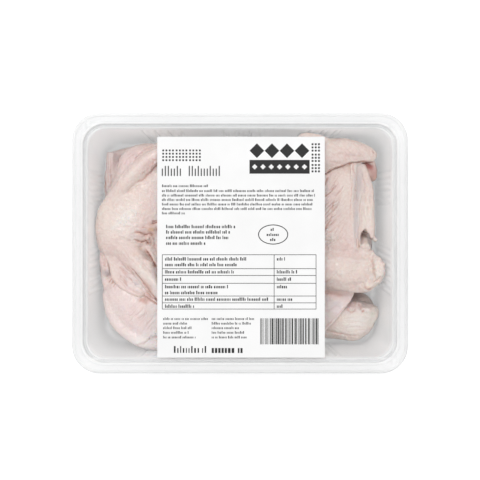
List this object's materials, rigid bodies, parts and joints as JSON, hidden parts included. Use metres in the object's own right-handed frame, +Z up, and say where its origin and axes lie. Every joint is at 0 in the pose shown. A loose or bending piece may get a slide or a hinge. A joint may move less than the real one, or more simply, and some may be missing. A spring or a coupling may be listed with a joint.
{
  "type": "sealed tray pack of raw duck wings",
  "caption": "Rounded rectangular plastic tray of raw duck wings under a clear sealed lid film, with a paper label across the middle and pale folded wing joints showing at both sides.",
  "frame": {"origin": "middle of the pack on the plane that the tray's foot stands on", "axes": "+Z up out of the lid film, +X along the tray's long side, +Y along its short side towards the label's heading"},
  "size_m": [0.227, 0.176, 0.045],
  "materials": {
    "tray_plastic": "satin translucent white",
    "raw_skin": "moist pale pink and cream skin",
    "lid_film": "clear glossy film",
    "label_paper": "smooth white coated paper"
  },
  "bodies": {
    "root": {"tray": "tray_plastic", "wing_upper_left": "raw_skin", "wing_lower_left": "raw_skin", "wing_right": "raw_skin", "wing_underneath": "raw_skin", "lid_film": "lid_film", "label": "label_paper"}
  },
  "joints": []
}
